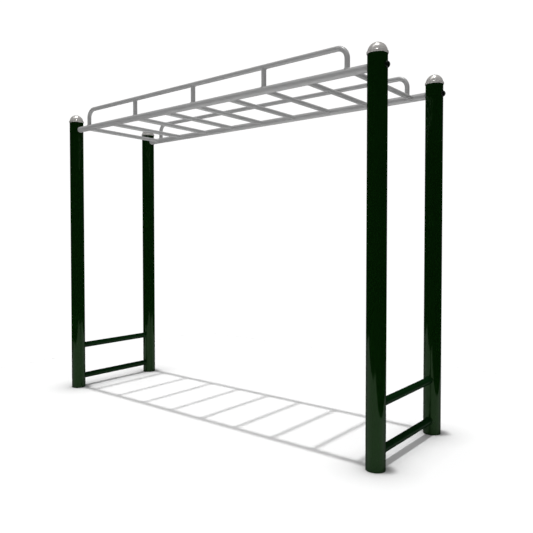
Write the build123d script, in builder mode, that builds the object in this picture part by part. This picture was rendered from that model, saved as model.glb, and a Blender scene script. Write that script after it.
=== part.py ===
from build123d import *
import os

# Overhead ladder (monkey bars) in welded steel tube, millimetres, +Z up.
# Origin: on the ground, at the middle of the four posts. +X runs along the ladder, +Y across it.
# Two end frames, each of two posts and two crossbars, carry one welded ladder. The ladder's side
# rails butt on the posts and are bolted through them from outside, under round bolt caps.

# ---- driving dimensions ----------------------------------------------------------------------
post_od, post_wall = 114.3, 3.6
rail_od, rail_wall = 48.3, 3.2          # side rails and crossbars share this tube
bar_od, bar_wall = 32.0, 2.5            # rungs, guard loops and guard uprights share this tube

post_span_x = 2936.0                    # between post axes, along the ladder
post_span_y = 796.0                     # between post axes, across the ladder
post_height = 2330.0
rail_z = 2264.0                         # axis of the side rails and the rungs
crossbar_zs = {"low": 92.0, "high": 365.0}

rung_count, rung_pitch = 9, 327.0

guard_rise = 150.0                      # guard tube axis above the rail axis
guard_leg_x = 1274.0                    # guard loop's end legs, from the middle
guard_bend = 68.0                       # bend radius on the tube axis
upright_count, upright_pitch = 3, 654.0
upright_land = 4.0                      # the upright's fishmouth stops this far below the guard axis

foot_thickness = 12.0
anchor_tap_d = 17.5                     # tapping size of an M20 thread
weld_prep = 2.0                         # chamfer round the foot plate's lower edge

cap_rim_d, cap_rim_h, cap_rim_round = 122.0, 14.0, 2.5
cap_dome_d, cap_dome_h, cap_dome_wall = 113.0, 52.0, 3.5
skirt_gap, skirt_wall, skirt_depth = 0.25, 2.6, 28.0
skirt_rib_count, skirt_rib_width = 6, 4.0

bolt_d, bolt_length = 12.0, 145.0
bolt_head_af, bolt_head_h = 18.0, 7.5
bolt_hole_d = 13.0
washer_d, washer_t = 24.0, 2.5
plug_length, plug_setback, plug_hole_d = 25.0, 3.0, 12.2
sleeve_od, sleeve_bore = 20.0, 13.0
seat_d, seat_t, seat_recess_d = 40.0, 4.0, 25.0      # bolt cap seat, shaped to the post
dome_d, dome_h, dome_wall = 39.0, 14.0, 1.6

# ---- worked out ------------------------------------------------------------------------------
post_r, post_bore_r = post_od / 2, post_od / 2 - post_wall
rail_r, rail_bore_r = rail_od / 2, rail_od / 2 - rail_wall
bar_r, bar_bore_r = bar_od / 2, bar_od / 2 - bar_wall
half_x, half_y = post_span_x / 2, post_span_y / 2
guard_z = rail_z + guard_rise
clear = 200.0                           # how far a cutting cylinder runs past the piece it cuts

ends = {"left": -1, "right": 1}         # along X
sides = {"front": -1, "back": 1}        # along Y

os.makedirs("parts", exist_ok=True)


def save(builder, name):
    """Label the finished piece and write it to its own STEP file."""
    builder.part.label = name
    export_step(builder.part, f"parts/{name}.step")


# ---- posts: upright tubes with one bolt hole through both walls at rail height ----------------
for end, ex in ends.items():
    for side, sy in sides.items():
        post_xy = (ex * half_x, sy * half_y)
        bolt_plane = Plane(origin=(*post_xy, rail_z), z_dir=(1, 0, 0))
        with BuildPart() as post:
            with BuildSketch(Plane.XY):
                with Locations(post_xy):
                    Circle(post_r)
                    Circle(post_bore_r, mode=Mode.SUBTRACT)
            extrude(amount=post_height)
            with BuildSketch(bolt_plane):
                Circle(bolt_hole_d / 2)
            extrude(amount=post_od, both=True, mode=Mode.SUBTRACT)
        save(post, f"post_{end}_{side}")

# ---- foot plates: discs welded inside the post feet, tapped for one anchor stud each ----------
for end, ex in ends.items():
    for side, sy in sides.items():
        with BuildPart() as foot:
            with BuildSketch(Plane.XY):
                with Locations((ex * half_x, sy * half_y)):
                    Circle(post_bore_r)
                    Circle(anchor_tap_d / 2, mode=Mode.SUBTRACT)
            extrude(amount=foot_thickness)
            rim = foot.faces().sort_by(Axis.Z)[0].outer_wire().edges()
            chamfer(rim, length=weld_prep)
        save(foot, f"foot_plate_{end}_{side}")

# ---- post caps: hollow cast domes with a rim over the post's edge and a ribbed skirt inside ----
skirt_r = post_bore_r - skirt_gap
skirt_bore_r = skirt_r - skirt_wall
crown = cap_rim_h + cap_dome_h
rib_r = (post_bore_r**2 - (skirt_rib_width / 2) ** 2) ** 0.5      # the rib's corners touch the tube
for end, ex in ends.items():
    for side, sy in sides.items():
        post_xy = (ex * half_x, sy * half_y)
        section = Plane(origin=(*post_xy, post_height), x_dir=(1, 0, 0), z_dir=(0, -1, 0))
        with BuildPart() as cap:
            with BuildSketch(section) as profile:
                with BuildLine():
                    TangentArc((0, crown), (cap_dome_d / 2, cap_rim_h), tangent=(1, 0))
                    Polyline(
                        (cap_dome_d / 2, cap_rim_h),
                        (cap_rim_d / 2, cap_rim_h),
                        (cap_rim_d / 2, 0),
                        (skirt_r, 0),
                        (skirt_r, -skirt_depth),
                        (skirt_bore_r, -skirt_depth),
                        (skirt_bore_r, cap_rim_h),
                    )
                    TangentArc((0, crown - cap_dome_wall), (skirt_bore_r, cap_rim_h), tangent=(1, 0))
                    Line((0, crown - cap_dome_wall), (0, crown))
                make_face()
                fillet(profile.vertices().group_by(Axis.X)[-1], cap_rim_round)
            revolve(axis=Axis((*post_xy, 0), (0, 0, 1)))
            with BuildSketch(Plane.XY.offset(post_height - skirt_depth)):
                with Locations(post_xy):
                    with PolarLocations((skirt_bore_r + rib_r) / 2, skirt_rib_count):
                        Rectangle(rib_r - skirt_bore_r, skirt_rib_width)
            extrude(amount=skirt_depth)
        save(cap, f"post_cap_{end}_{side}")

# ---- crossbars: tubes across each end frame, coped to the posts --------------------------------
for end, ex in ends.items():
    for level, z in crossbar_zs.items():
        with BuildPart() as crossbar:
            with BuildSketch(Plane(origin=(ex * half_x, 0, z), z_dir=(0, 1, 0))):
                Circle(rail_r)
                Circle(rail_bore_r, mode=Mode.SUBTRACT)
            extrude(amount=half_y, both=True)
            with Locations((ex * half_x, -half_y, z), (ex * half_x, half_y, z)):
                Cylinder(post_r, clear, mode=Mode.SUBTRACT)
        save(crossbar, f"crossbar_{end}_{level}")

# ---- side rails: long tubes, coped to the posts at both ends ------------------------------------
for side, sy in sides.items():
    with BuildPart() as rail:
        with BuildSketch(Plane(origin=(0, sy * half_y, rail_z), z_dir=(1, 0, 0))):
            Circle(rail_r)
            Circle(rail_bore_r, mode=Mode.SUBTRACT)
        extrude(amount=half_x, both=True)
        with Locations((-half_x, sy * half_y, rail_z), (half_x, sy * half_y, rail_z)):
            Cylinder(post_r, clear, mode=Mode.SUBTRACT)
    save(rail, f"side_rail_{side}")

# ---- rungs: tubes between the side rails, coped to them -----------------------------------------
for i in range(rung_count):
    x = (i - (rung_count - 1) / 2) * rung_pitch
    with BuildPart() as rung:
        with BuildSketch(Plane(origin=(x, 0, rail_z), z_dir=(0, 1, 0))):
            Circle(bar_r)
            Circle(bar_bore_r, mode=Mode.SUBTRACT)
        extrude(amount=half_y, both=True)
        with Locations((x, -half_y, rail_z), (x, half_y, rail_z)):
            Cylinder(rail_r, clear, rotation=(0, 90, 0), mode=Mode.SUBTRACT)
    save(rung, f"rung_{i + 1}")

# ---- guard loops: one bent tube above each rail, its legs coped onto the rail -------------------
for side, sy in sides.items():
    y = sy * half_y
    with BuildPart() as guard:
        with BuildLine() as route:
            FilletPolyline(
                (-guard_leg_x, y, rail_z),
                (-guard_leg_x, y, guard_z),
                (guard_leg_x, y, guard_z),
                (guard_leg_x, y, rail_z),
                radius=guard_bend,
            )
        with BuildSketch(Plane(origin=(-guard_leg_x, y, rail_z))):
            Circle(bar_r)
            Circle(bar_bore_r, mode=Mode.SUBTRACT)
        sweep(path=route.wires()[0])
        with Locations((0, y, rail_z)):
            Cylinder(rail_r, post_span_x, rotation=(0, 90, 0), mode=Mode.SUBTRACT)
    save(guard, f"guard_loop_{side}")

# ---- guard uprights: short tubes from the front rail up to its guard, coped at both ends --------
# The back guard stands on its own two end legs, without uprights.
front_y = sides["front"] * half_y
for i in range(upright_count):
    x = (i - (upright_count - 1) / 2) * upright_pitch
    with BuildPart() as upright:
        with BuildSketch(Plane(origin=(x, front_y, rail_z))):
            Circle(bar_r)
            Circle(bar_bore_r, mode=Mode.SUBTRACT)
        extrude(amount=guard_rise - upright_land)
        with Locations((x, front_y, rail_z)):
            Cylinder(rail_r, clear, rotation=(0, 90, 0), mode=Mode.SUBTRACT)
        with Locations((x, front_y, guard_z)):
            Cylinder(bar_r, clear, rotation=(0, 90, 0), mode=Mode.SUBTRACT)
    save(upright, f"guard_upright_front_{i + 1}")

# ---- rail end plugs: turned steel plugs welded in the rail ends, drilled for the bolt thread ----
for end, ex in ends.items():
    for side, sy in sides.items():
        face_x = ex * (half_x - post_r - plug_setback)
        with BuildPart() as plug:
            with BuildSketch(Plane(origin=(face_x, sy * half_y, rail_z), z_dir=(-ex, 0, 0))):
                Circle(rail_bore_r)
                Circle(plug_hole_d / 2, mode=Mode.SUBTRACT)
            extrude(amount=plug_length)
        save(plug, f"rail_plug_{end}_{side}")

# ---- crush sleeves: spacers round the bolts inside the posts, so that a bolt can't dent its post -
for end, ex in ends.items():
    for side, sy in sides.items():
        centre = (ex * half_x, sy * half_y, rail_z)
        with BuildPart() as sleeve:
            with BuildSketch(Plane(origin=centre, z_dir=(1, 0, 0))):
                Circle(sleeve_od / 2)
                Circle(sleeve_bore / 2, mode=Mode.SUBTRACT)
            extrude(amount=post_r, both=True)
            with Locations(centre):
                Cylinder(post_bore_r, clear, mode=Mode.INTERSECT)
        save(sleeve, f"crush_sleeve_{end}_{side}")

# ---- bolt sets: seat, washer, hex bolt and cap, stacked outwards on each post at rail height ----
# Each plane lies on the post's outer face at the rail axis, facing outwards.
bolt_planes = [
    Plane(origin=(ex * (half_x + post_r), sy * half_y, rail_z), z_dir=(ex, 0, 0))
    for ex in ends.values()
    for sy in sides.values()
]
post_centres = [(ex * half_x, sy * half_y, rail_z) for ex in ends.values() for sy in sides.values()]

with BuildPart() as cap_seats:
    for face in bolt_planes:
        with BuildSketch(face.offset(seat_t)):
            Circle(seat_d / 2)
            Circle(bolt_hole_d / 2, mode=Mode.SUBTRACT)
        extrude(amount=-(seat_t + post_r))
        with BuildSketch(face.offset(seat_t)):
            Circle(seat_recess_d / 2)
        extrude(amount=-washer_t, mode=Mode.SUBTRACT)
    with Locations(*post_centres):
        Cylinder(post_r, clear, mode=Mode.SUBTRACT)
save(cap_seats, "bolt_cap_seats")

with BuildPart() as washers:
    for face in bolt_planes:
        with BuildSketch(face.offset(seat_t - washer_t)):
            Circle(washer_d / 2)
            Circle(bolt_hole_d / 2, mode=Mode.SUBTRACT)
        extrude(amount=washer_t)
save(washers, "bolt_washers")

with BuildPart() as bolts:
    for face in bolt_planes:
        with BuildSketch(face.offset(seat_t)):
            RegularPolygon(bolt_head_af / 2, 6, major_radius=False)
        extrude(amount=bolt_head_h)
        with BuildSketch(face.offset(seat_t)):
            Circle(bolt_d / 2)
        extrude(amount=-bolt_length)
save(bolts, "rail_bolts")

dome_bore_r, dome_crown = dome_d / 2 - dome_wall, dome_h - dome_wall
with BuildPart() as domes:
    for face in bolt_planes:
        section = Plane(
            origin=face.offset(seat_t).origin,
            x_dir=(0, 0, 1),
            z_dir=Vector(0, 0, 1).cross(face.z_dir),
        )
        with BuildSketch(section):
            with BuildLine():
                TangentArc((0, dome_h), (dome_d / 2, 0), tangent=(1, 0))
                Line((dome_d / 2, 0), (dome_bore_r, 0))
                TangentArc((0, dome_crown), (dome_bore_r, 0), tangent=(1, 0))
                Line((0, dome_crown), (0, dome_h))
            make_face()
        revolve(axis=Axis(face.origin, face.z_dir))
save(domes, "bolt_cap_domes")
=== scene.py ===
"""Monkey bars in welded and painted steel tube: the looks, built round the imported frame.

The file follows the object as it is put together: the studio it stands in, the green end frames,
the silver ladder with its guards, the weld beads, then the caps and the bolts. Lengths are metres.
"""

import math

import bpy
import numpy as np
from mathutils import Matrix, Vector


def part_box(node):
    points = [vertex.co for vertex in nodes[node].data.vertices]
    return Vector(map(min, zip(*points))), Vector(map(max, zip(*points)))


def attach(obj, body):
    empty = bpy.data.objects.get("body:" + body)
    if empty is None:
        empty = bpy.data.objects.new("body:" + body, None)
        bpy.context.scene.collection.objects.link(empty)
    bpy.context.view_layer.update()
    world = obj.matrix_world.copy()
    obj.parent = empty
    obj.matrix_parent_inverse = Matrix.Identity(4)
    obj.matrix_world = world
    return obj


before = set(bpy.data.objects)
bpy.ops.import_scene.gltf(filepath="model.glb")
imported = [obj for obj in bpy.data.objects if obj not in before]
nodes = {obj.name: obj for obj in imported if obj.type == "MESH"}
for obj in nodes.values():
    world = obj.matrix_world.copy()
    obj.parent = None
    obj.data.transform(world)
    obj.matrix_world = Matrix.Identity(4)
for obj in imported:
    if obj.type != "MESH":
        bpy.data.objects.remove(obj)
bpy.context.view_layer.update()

# ---- camera --------------------------------------------------------------------------------------
# A person's eye height, off the near right corner, looking along the ladder from below its rungs.
eye = bpy.data.objects.new("camera", bpy.data.cameras.new("camera"))
bpy.context.scene.collection.objects.link(eye)
eye.location = (2.9823, -3.2641, 1.2926)
eye.rotation_euler = (math.radians(88.50), 0.0, math.radians(38.82))
eye.data.sensor_width = 36.0
eye.data.lens = 38.36
eye.data.shift_y = -0.0198
bpy.context.scene.camera = eye
bpy.context.scene.view_settings.view_transform = "Standard"

# ---- studio --------------------------------------------------------------------------------------
# A matt white board to stand on, about 5.3 m by 5.1 m, in a dark room; its colour carries painted
# shade near the posts. Soft light comes evenly from above, a small strong lamp almost overhead draws
# the ladder's shadow, and one long ceiling light is there to be mirrored in the caps and the coats.
# Behind it all is plain white.
board_x_ends = (-2.75, 2.53)         # a glossy post mirrors the board up to these edges, then the dark
board_y_ends = (-2.68, 2.45)
surround_radius, surround_strength = 40.0, 1.02
board_drop = 0.0002                  # keeps the board just clear of the posts' cut ends
painted_shade_reach = 0.25                  # how far from a post the board is painted darker: painted shade in the corner they make
soft_side, soft_top = 0.72, 0.585    # strength of the soft light near the horizon and overhead
soft_below = 0.6                     # share of it that comes up from below the board's level
lamp_strength = 1.95
lamp_lean = (0.0155, 0.012)          # how far the light travels in x and y for each metre down
lamp_width = math.radians(1.3)
panel_near, panel_far = (0.5, 0.5), (-3.9, -6.6)     # the two ends of the long ceiling light
panel_width, panel_height, panel_strength = 2.2, 12.0, 2.4


def linear(colour):
    """An sRGB hex string as linear r, g, b, a: each channel by the standard's toe and 2.4 power."""
    parts = [int(colour[i : i + 2], 16) / 255 for i in (1, 3, 5)]
    return (*[c / 12.92 if c <= 0.04045 else ((c + 0.055) / 1.055) ** 2.4 for c in parts], 1.0)


def put(tree, kind, settings=(), links=()):
    """Adds one shader node; a setting is an attribute or an input, a link is input: output socket."""
    made = tree.nodes.new("ShaderNode" + kind)
    for name, value in dict(settings).items():
        if isinstance(name, str) and hasattr(made, name):
            setattr(made, name, value)
        else:
            made.inputs[name].default_value = value
    for name, socket in dict(links).items():
        tree.links.new(socket, made.inputs[name])
    return made


def empty_material(name):
    """A new material with an empty node tree."""
    material = bpy.data.materials.new(name)
    material.use_nodes = True
    material.node_tree.nodes.clear()
    return material


def two_shades(tree, dark, pale, factor):
    """Two sRGB shades mixed by a factor socket: dark at 0, pale at 1."""
    return put(tree, "Mix", {"data_type": "RGBA", 6: linear(dark), 7: linear(pale)}, {0: factor})


def finish(tree, shader):
    """Joins a shader node to the material's output."""
    put(tree, "OutputMaterial", links={"Surface": shader.outputs[0]})


def grid_piece(name, points, material, close_u=False, close_v=False):
    """A mesh from a (u, v, 3) array of points: each cell of the grid is one quad, and a closed
    direction joins its last row to its first."""
    rows, columns = points.shape[:2]
    u = np.arange(rows if close_u else rows - 1)[:, None]
    v = np.arange(columns if close_v else columns - 1)[None, :]
    u1, v1 = (u + 1) % rows, (v + 1) % columns
    cells = np.stack([u * columns + v, u1 * columns + v, u1 * columns + v1, u * columns + v1], -1)
    mesh = bpy.data.meshes.new(name)
    mesh.from_pydata(points.reshape(-1, 3), [], cells.reshape(-1, 4).tolist())
    mesh.polygons.foreach_set("use_smooth", np.ones(len(mesh.polygons), bool))
    mesh.materials.append(material)
    mesh.update()
    piece = bpy.data.objects.new(name, mesh)
    bpy.context.scene.collection.objects.link(piece)
    return piece


matt_white = empty_material("matt_white_board")
tree = matt_white.node_tree
# Painted shade: an ambient-occlusion node darkens the board's colour near the posts and crossbars,
# standing in for contact shadow.
painted_corner_shade = put(
    tree, "AmbientOcclusion", {"samples": 8, "Distance": painted_shade_reach, "Color": linear("#f0f0f0")}
)
surface = put(tree, "BsdfDiffuse", links={"Color": painted_corner_shade.outputs["Color"]})
finish(tree, surface)
board_x, board_y = np.linspace(*board_x_ends, 3), np.linspace(*board_y_ends, 3)
flat = np.stack([*np.meshgrid(board_x, board_y, indexing="ij"), np.full((3, 3), -board_drop)], -1)
floor = grid_piece("floor", flat, matt_white)

plain_white = empty_material("plain_white_surround")
tree = plain_white.node_tree
surface = put(tree, "Emission", {"Color": (1.0, 1.0, 1.0, 1.0), "Strength": surround_strength})
finish(tree, surface)
turn = np.linspace(0, 2 * np.pi, 64, endpoint=False)[:, None]
rise = np.linspace(-np.pi / 2 + 0.001, np.pi / 2 - 0.001, 48)[None, :]
shell = [np.cos(turn) * np.cos(rise), np.sin(turn) * np.cos(rise), np.sin(rise) + 0 * turn]
sphere = surround_radius * np.stack(shell, -1)
surround = grid_piece("surround", sphere, plain_white, close_u=True)
surround.visible_diffuse = False
surround.visible_glossy = False
surround.visible_shadow = False
surround.visible_transmission = False

studio = bpy.data.worlds.new("studio")
bpy.context.scene.world = studio
studio.use_nodes = True
tree = studio.node_tree
tree.nodes.clear()
way = put(tree, "TexCoord")
height = put(tree, "SeparateXYZ", links={0: way.outputs["Generated"]})
dome = put(
    tree,
    "MapRange",
    {"interpolation_type": "SMOOTHSTEP", "From Min": 0.1, "From Max": 0.5,
     "To Min": soft_side, "To Max": soft_top},
    {"Value": height.outputs["Z"]},
)
pit = put(
    tree,
    "MapRange",
    {"interpolation_type": "SMOOTHSTEP", "From Min": -0.35, "From Max": 0.0, "To Min": soft_below},
    {"Value": height.outputs["Z"]},
)
strength = put(tree, "Math", {"operation": "MULTIPLY"}, {0: dome.outputs[0], 1: pit.outputs[0]})
light = put(tree, "Background", {"Color": (1.0, 1.0, 1.0, 1.0)}, {"Strength": strength.outputs[0]})
put(tree, "OutputWorld", links={"Surface": light.outputs[0]})
studio.cycles_visibility.glossy = False

lit_panel = empty_material("lit_ceiling_panel")
tree = lit_panel.node_tree
surface = put(tree, "Emission", {"Color": (1.0, 1.0, 1.0, 1.0), "Strength": panel_strength})
finish(tree, surface)
along = np.array([panel_far[0] - panel_near[0], panel_far[1] - panel_near[1], 0.0])
sideways = panel_width * np.array([-along[1], along[0], 0.0]) / np.linalg.norm(along)
u, v = np.linspace(0, 1, 3)[:, None, None], np.linspace(-0.5, 0.5, 3)[None, :, None]
flat = np.array([*panel_near, panel_height]) + u * along + v * sideways
panel = grid_piece("ceiling_panel", flat, lit_panel)
panel.visible_camera = False
panel.visible_diffuse = False
panel.visible_shadow = False

lamp = bpy.data.objects.new("lamp", bpy.data.lights.new("lamp", "SUN"))
bpy.context.scene.collection.objects.link(lamp)
lamp.data.energy = lamp_strength
lamp.data.angle = lamp_width
lamp.rotation_euler = (math.atan(lamp_lean[1]), -math.atan(lamp_lean[0]), 0.0)

# ---- end frames: posts, crossbars and foot plates ------------------------------------------------
# Steel tube, shot-blasted and powder coated in a very dark green. A baked gloss powder coat gives
# deep colour, a clear soft-edged gloss and the faint orange peel of the melted powder.
peel_size = 0.004                    # real peel is about 1.5 mm; drawn coarser so that it shows
peel_depth = 0.00003
sag_size = 0.09                      # slow waviness of a drawn tube's wall


def powder_coat(name, dark, pale, roughness, mirror, specular, tint):
    """A powder coat: two shades mixed by a slow noise, peel and waviness in the bump. The gloss is
    held to the share that the coat mirrors face on: mirror / (mirror + (1 - mirror) * facing^5)."""
    material = empty_material(name)
    tree = material.node_tree
    place = put(tree, "TexCoord")
    spot = {"Vector": place.outputs["Object"]}
    slow = put(tree, "TexNoise", {"Scale": 1 / sag_size, "Detail": 2.0}, spot)
    fine = put(tree, "TexNoise", {"Scale": 1 / peel_size, "Detail": 2.0, "Roughness": 0.55}, spot)
    shade = two_shades(tree, dark, pale, slow.outputs[0])
    gloss = put(
        tree,
        "MapRange",
        {"From Min": 0.0, "From Max": 1.0, "To Min": 0.85 * roughness, "To Max": 1.15 * roughness},
        {"Value": slow.outputs[0]},
    )
    wave = put(
        tree, "Bump", {"Strength": 0.25, "Distance": 0.0012}, {"Height": slow.outputs[0]}
    )
    peel = put(
        tree,
        "Bump",
        {"Strength": 0.5, "Distance": peel_depth},
        {"Height": fine.outputs[0], "Normal": wave.outputs[0]},
    )
    facing = put(tree, "LayerWeight", {"Blend": 0.5})
    fifth = put(tree, "Math", {"operation": "POWER", 1: 5.0}, {0: facing.outputs["Facing"]})
    mirrored = put(
        tree, "Math", {"operation": "MULTIPLY_ADD", 1: 1 - mirror, 2: mirror}, {0: fifth.outputs[0]}
    )
    held = put(tree, "Math", {"operation": "DIVIDE", 0: mirror}, {1: mirrored.outputs[0]})
    skin = {"Base Color": shade.outputs[2], "Roughness": gloss.outputs[0], "Normal": peel.outputs[0]}
    matt = put(tree, "BsdfPrincipled", {"Specular IOR Level": 0.0}, skin)
    glossy = put(
        tree, "BsdfPrincipled", {"Specular IOR Level": specular, "Specular Tint": tint}, skin
    )
    surface = put(
        tree, "MixShader", links={0: held.outputs[0], 1: matt.outputs[0], 2: glossy.outputs[0]}
    )
    finish(tree, surface)
    return material


def dress(prefixes, material):
    """Gives every CAD node whose name starts with one of the prefixes this material."""
    for name, piece in nodes.items():
        if name.startswith(prefixes):
            piece.data.materials.clear()
            piece.data.materials.append(material)


green_coat = powder_coat(
    "green_gloss_powder_coat", "#051b03", "#071f05", 0.07, 0.02, 0.25, linear("#cbffc2")
)
# The crossbars are seen to mirror the board less than the posts do, and to look paler. Why isn't
# known; they get a less glossy run of the same green with a paler base colour, which is painted
# light: the same coat shown lighter on the crossbars than on the posts.
paler_painted_light_coat = powder_coat(
    "green_semi_gloss_coat_painted_paler", "#081c0a", "#0b220e", 0.12, 0.02, 0.09, linear("#cbffc2")
)
dress(("post_left", "post_right", "foot_plate"), green_coat)
dress(("crossbar",), paler_painted_light_coat)

# ---- ladder: side rails, rungs, guard loops and uprights -----------------------------------------
# Thinner steel tube in a satin silver-grey powder coat with a little aluminium flake in it, which
# gives a broad soft sheen instead of a mirror line.
silver_coat = powder_coat(
    "silver_satin_powder_coat", "#a3a3a3", "#aaaaaa", 0.3, 0.08, 1.0, linear("#ffffff")
)
dress(("side_rail", "rung", "guard"), silver_coat)

# ---- weld beads ----------------------------------------------------------------------------------
# Every tube end is coped to the tube it meets and welded all round by hand, and the bead is painted
# over with its tube. A bead is a row of overlapping puddles, so it has ripples about 3 mm apart.
ripple_pitch = 0.0032
bead_steps, bead_sides = 288, 12     # points along a bead and round its section


def saddle_bead(origin, branch, main, branch_r, main_r, leg, seed):
    """Points of a closed bead where a branch tube meets a main tube. The line goes round the branch
    at angle a: its height on the branch axis is the main circle's, so that every point lies on both
    tubes. The section is an ellipse across both walls, its size rippled along the line: each puddle
    swells as the square root of the way through it, then drops to the next."""
    branch, main = np.array(branch, float), np.array(main, float)
    across = np.cross(branch, main)
    a = np.linspace(0, 2 * np.pi, bead_steps, endpoint=False)[:, None]
    side = 0.985 * branch_r * np.sin(a)
    height = np.sqrt(main_r**2 - side**2)
    line = branch_r * np.cos(a) * main + branch_r * np.sin(a) * across + height * branch
    on_branch = np.cos(a) * main + np.sin(a) * across
    on_main = (side * across + height * branch) / main_r
    step = np.linalg.norm(np.roll(line, -1, 0) - line, axis=1)
    run = np.concatenate([[0.0], np.cumsum(step)[:-1]])[:, None]
    ripples = max(8, round(float(step.sum()) / ripple_pitch))
    outward = on_branch + on_main
    outward /= np.linalg.norm(outward, axis=1, keepdims=True)
    along_walls = on_branch - on_main
    along_walls /= np.linalg.norm(along_walls, axis=1, keepdims=True)
    b = np.linspace(0, -2 * np.pi, bead_sides, endpoint=False)[None, :]
    phase = run / step.sum() * ripples + 0.3 * np.cos(b) ** 2
    unsteady = 0.05 * np.sin(3 * a + seed) + 0.03 * np.sin(7 * a + 2 * seed)
    puddle = 1 + 0.22 * np.sqrt(phase % 1.0) + unsteady
    thick, wide = 0.42 * leg * puddle, 0.62 * leg * puddle
    section = thick[..., None] * np.cos(b)[..., None] * outward[:, None, :]
    section = section + wide[..., None] * np.sin(b)[..., None] * along_walls[:, None, :]
    centre = line + 0.18 * leg * outward
    return np.array(origin, float) + centre[:, None, :] + section


def beads_piece(name, beads, material):
    """Several closed beads joined into one piece that stays with the frame."""
    made = [grid_piece(f"{name}_{i}", bead, material, True, True) for i, bead in enumerate(beads)]
    with bpy.context.temp_override(active_object=made[0], selected_editable_objects=made):
        bpy.ops.object.join()
    made[0].name = name
    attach(made[0], "root")


def middle(name):
    """A node's box centre and half size, as arrays."""
    low, high = (np.array(corner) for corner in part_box(name))
    return (low + high) / 2, (high - low) / 2


posts = [n for n in nodes if n.startswith(("post_left", "post_right"))]
rails = [n for n in nodes if n.startswith("side_rail")]
post_r = middle(posts[0])[1][0]
rail_centre, rail_half = middle("side_rail_front")
rail_r = rail_half[2]
bar_r = middle("rung_5")[1][2]
x_axis, y_axis, z_axis = np.eye(3)

frame_beads = []
for name in (n for n in nodes if n.startswith("crossbar")):
    centre = middle(name)[0]
    for post in posts:
        post_centre = middle(post)[0]
        if abs(post_centre[0] - centre[0]) > post_r:
            continue
        origin = np.array([post_centre[0], post_centre[1], centre[2]])
        toward = y_axis * np.sign(centre[1] - post_centre[1])
        frame_beads.append(
            saddle_bead(origin, toward, z_axis, rail_r, post_r, 0.007, len(frame_beads))
        )
beads_piece("frame_weld_beads", frame_beads, green_coat)

ladder_beads = []
for name in (n for n in nodes if n.startswith("rung")):
    centre = middle(name)[0]
    for rail in rails:
        rail_y = middle(rail)[0][1]
        origin = np.array([centre[0], rail_y, centre[2]])
        toward = -y_axis * np.sign(rail_y)
        ladder_beads.append(
            saddle_bead(origin, toward, x_axis, bar_r, rail_r, 0.006, len(ladder_beads))
        )
beads_piece("ladder_weld_beads", ladder_beads, silver_coat)

guard_beads = []
for name in (n for n in nodes if n.startswith("guard_loop")):
    centre, half = middle(name)
    guard_z = centre[2] + half[2] - bar_r
    for end in (-1, 1):
        origin = np.array([centre[0] + end * (half[0] - bar_r), centre[1], rail_centre[2]])
        guard_beads.append(
            saddle_bead(origin, z_axis, x_axis, bar_r, rail_r, 0.006, len(guard_beads))
        )
for name in (n for n in nodes if n.startswith("guard_upright")):
    centre = middle(name)[0]
    foot = np.array([centre[0], centre[1], rail_centre[2]])
    head = np.array([centre[0], centre[1], guard_z])
    guard_beads.append(saddle_bead(foot, z_axis, x_axis, bar_r, rail_r, 0.006, len(guard_beads)))
    guard_beads.append(saddle_bead(head, -z_axis, x_axis, bar_r, bar_r, 0.005, len(guard_beads)))
beads_piece("guard_weld_beads", guard_beads, silver_coat)

# ---- post caps -----------------------------------------------------------------------------------
# Cast aluminium domes, turned on a lathe and buffed, pressed into the post tops. The buffing leaves a
# bright satin with very fine rings round the axis.
ring_pitch = 0.0015                  # turning marks are finer; drawn as coarse as shows
cap_metal = empty_material("buffed_cast_aluminium")
tree = cap_metal.node_tree
place = put(tree, "TexCoord")
level = put(tree, "Mapping", {"Scale": (4.0, 4.0, 1 / ring_pitch)}, {0: place.outputs["Object"]})
rings = put(tree, "TexNoise", {"Scale": 1.0, "Detail": 3.0, "Roughness": 0.6}, {0: level.outputs[0]})
cloud = put(tree, "TexNoise", {"Scale": 30.0, "Detail": 3.0}, {0: place.outputs["Object"]})
shade = two_shades(tree, "#dcd9d5", "#e6e3e0", cloud.outputs[0])
gloss = put(tree, "MapRange", {"To Min": 0.20, "To Max": 0.34}, {"Value": rings.outputs[0]})
turned = put(tree, "Bump", {"Strength": 0.35, "Distance": 0.00006}, {"Height": rings.outputs[0]})
surface = put(
    tree,
    "BsdfPrincipled",
    {"Metallic": 0.45},
    {"Base Color": shade.outputs[2], "Roughness": gloss.outputs[0], "Normal": turned.outputs[0]},
)
finish(tree, surface)
dress(("post_cap",), cap_metal)

# ---- bolts under their caps ----------------------------------------------------------------------
# Two-piece caps moulded in gloss black-green nylon snap over zinc-plated hex bolts and washers, whose
# threads run into steel plugs in the rail ends. Only the caps show.
cap_plastic = empty_material("gloss_moulded_nylon")
tree = cap_plastic.node_tree
place = put(tree, "TexCoord")
flow = put(tree, "TexNoise", {"Scale": 120.0, "Detail": 2.0}, {"Vector": place.outputs["Object"]})
shade = two_shades(tree, "#050a06", "#0a120b", flow.outputs[0])
gloss = put(tree, "MapRange", {"To Min": 0.14, "To Max": 0.26}, {"Value": flow.outputs[0]})
sink = put(tree, "Bump", {"Strength": 0.2, "Distance": 0.0001}, {"Height": flow.outputs[0]})
surface = put(
    tree,
    "BsdfPrincipled",
    {"Specular IOR Level": 0.4},
    {"Base Color": shade.outputs[2], "Roughness": gloss.outputs[0], "Normal": sink.outputs[0]},
)
finish(tree, surface)
dress(("bolt_cap",), cap_plastic)

zinc_plate = empty_material("zinc_plated_steel")
tree = zinc_plate.node_tree
place = put(tree, "TexCoord")
spangle = put(tree, "TexVoronoi", {"Scale": 400.0}, {"Vector": place.outputs["Object"]})
shade = two_shades(tree, "#b0b4b8", "#c6c8ca", spangle.outputs[0])
gloss = put(tree, "MapRange", {"To Min": 0.28, "To Max": 0.42}, {"Value": spangle.outputs[0]})
surface = put(
    tree,
    "BsdfPrincipled",
    {"Metallic": 1.0},
    {"Base Color": shade.outputs[2], "Roughness": gloss.outputs[0]},
)
finish(tree, surface)
dress(("rail_bolts", "bolt_washers", "rail_plug", "crush_sleeve"), zinc_plate)
